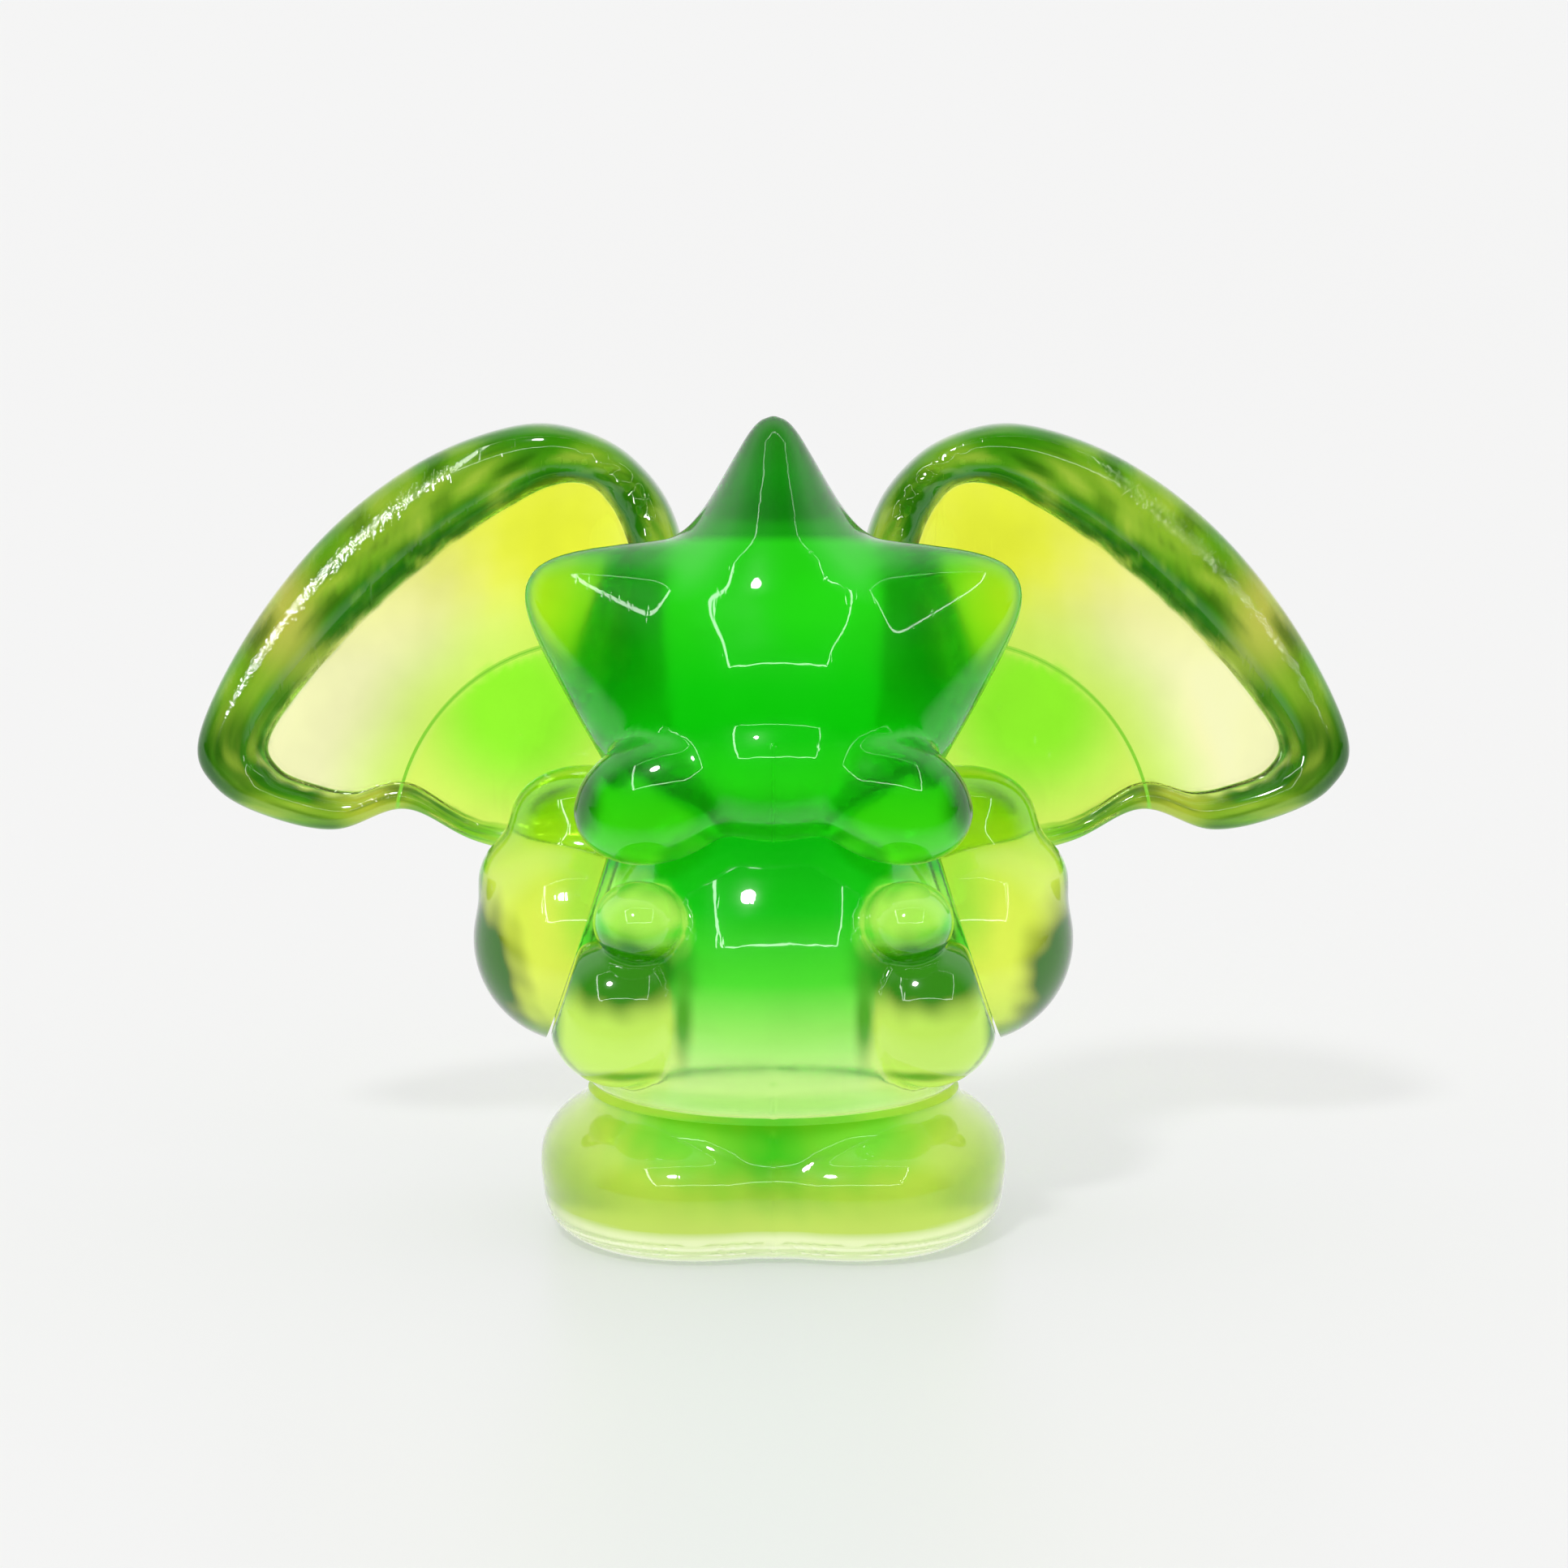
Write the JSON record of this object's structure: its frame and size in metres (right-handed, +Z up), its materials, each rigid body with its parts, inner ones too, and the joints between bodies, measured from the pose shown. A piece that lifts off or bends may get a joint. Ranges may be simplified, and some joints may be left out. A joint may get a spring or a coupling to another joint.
{
  "type": "winged dragon desk figure",
  "caption": "Squat winged dragon desk figure in clear green vinyl, with a horned head, outer arms and wings that turn on push-fit pegs above a two-lobed foot base.",
  "frame": {"origin": "on the floor under the waist axis, at the middle of the feet's flat underside", "axes": "+Z up along the waist axis, the figure faces -Y, +X to the viewer's right across the wings"},
  "size_m": [0.0724, 0.0285, 0.0494],
  "materials": {
    "green_vinyl": "glossy clear green",
    "lime_vinyl": "glossy clear yellow-green",
    "pale_vinyl": "glossy clear, pale yellow where thin"
  },
  "bodies": {
    "base": {"feet_base": "lime_vinyl"},
    "torso": {"torso": "green_vinyl"},
    "head": {"head": "green_vinyl"},
    "arm_left": {"arm_left": "lime_vinyl"},
    "arm_right": {"arm_right": "lime_vinyl"},
    "wing_left": {"wing_left": "pale_vinyl"},
    "wing_right": {"wing_right": "pale_vinyl"}
  },
  "joints": [
    {"name": "waist_turn", "type": "hinge", "parent": "base", "child": "torso", "pos_m": [0, 0, 0.0088], "axis": [0, 0, 1], "continuous": true},
    {"name": "neck_turn", "type": "hinge", "parent": "torso", "child": "head", "pos_m": [0, 0, 0.0255], "axis": [0, 0, 1], "range_deg": [-13, 13]},
    {"name": "arm_swing_left", "type": "hinge", "parent": "torso", "child": "arm_left", "pos_m": [-0.0104, 0.0026, 0.0215], "axis": [-0.9483, 0, 0.3173], "range_deg": [-30, 28]},
    {"name": "arm_swing_right", "type": "hinge", "parent": "torso", "child": "arm_right", "pos_m": [0.0104, 0.0026, 0.0215], "axis": [-0.9483, 0, -0.3173], "range_deg": [-30, 28]},
    {"name": "wing_tilt_left", "type": "hinge", "parent": "torso", "child": "wing_left", "pos_m": [-0.0055, 0.0084, 0.0203], "axis": [0, 1, 0], "range_deg": [-15, 12]},
    {"name": "wing_tilt_right", "type": "hinge", "parent": "torso", "child": "wing_right", "pos_m": [0.0055, 0.0084, 0.0203], "axis": [0, -1, 0], "range_deg": [-15, 12]}
  ]
}
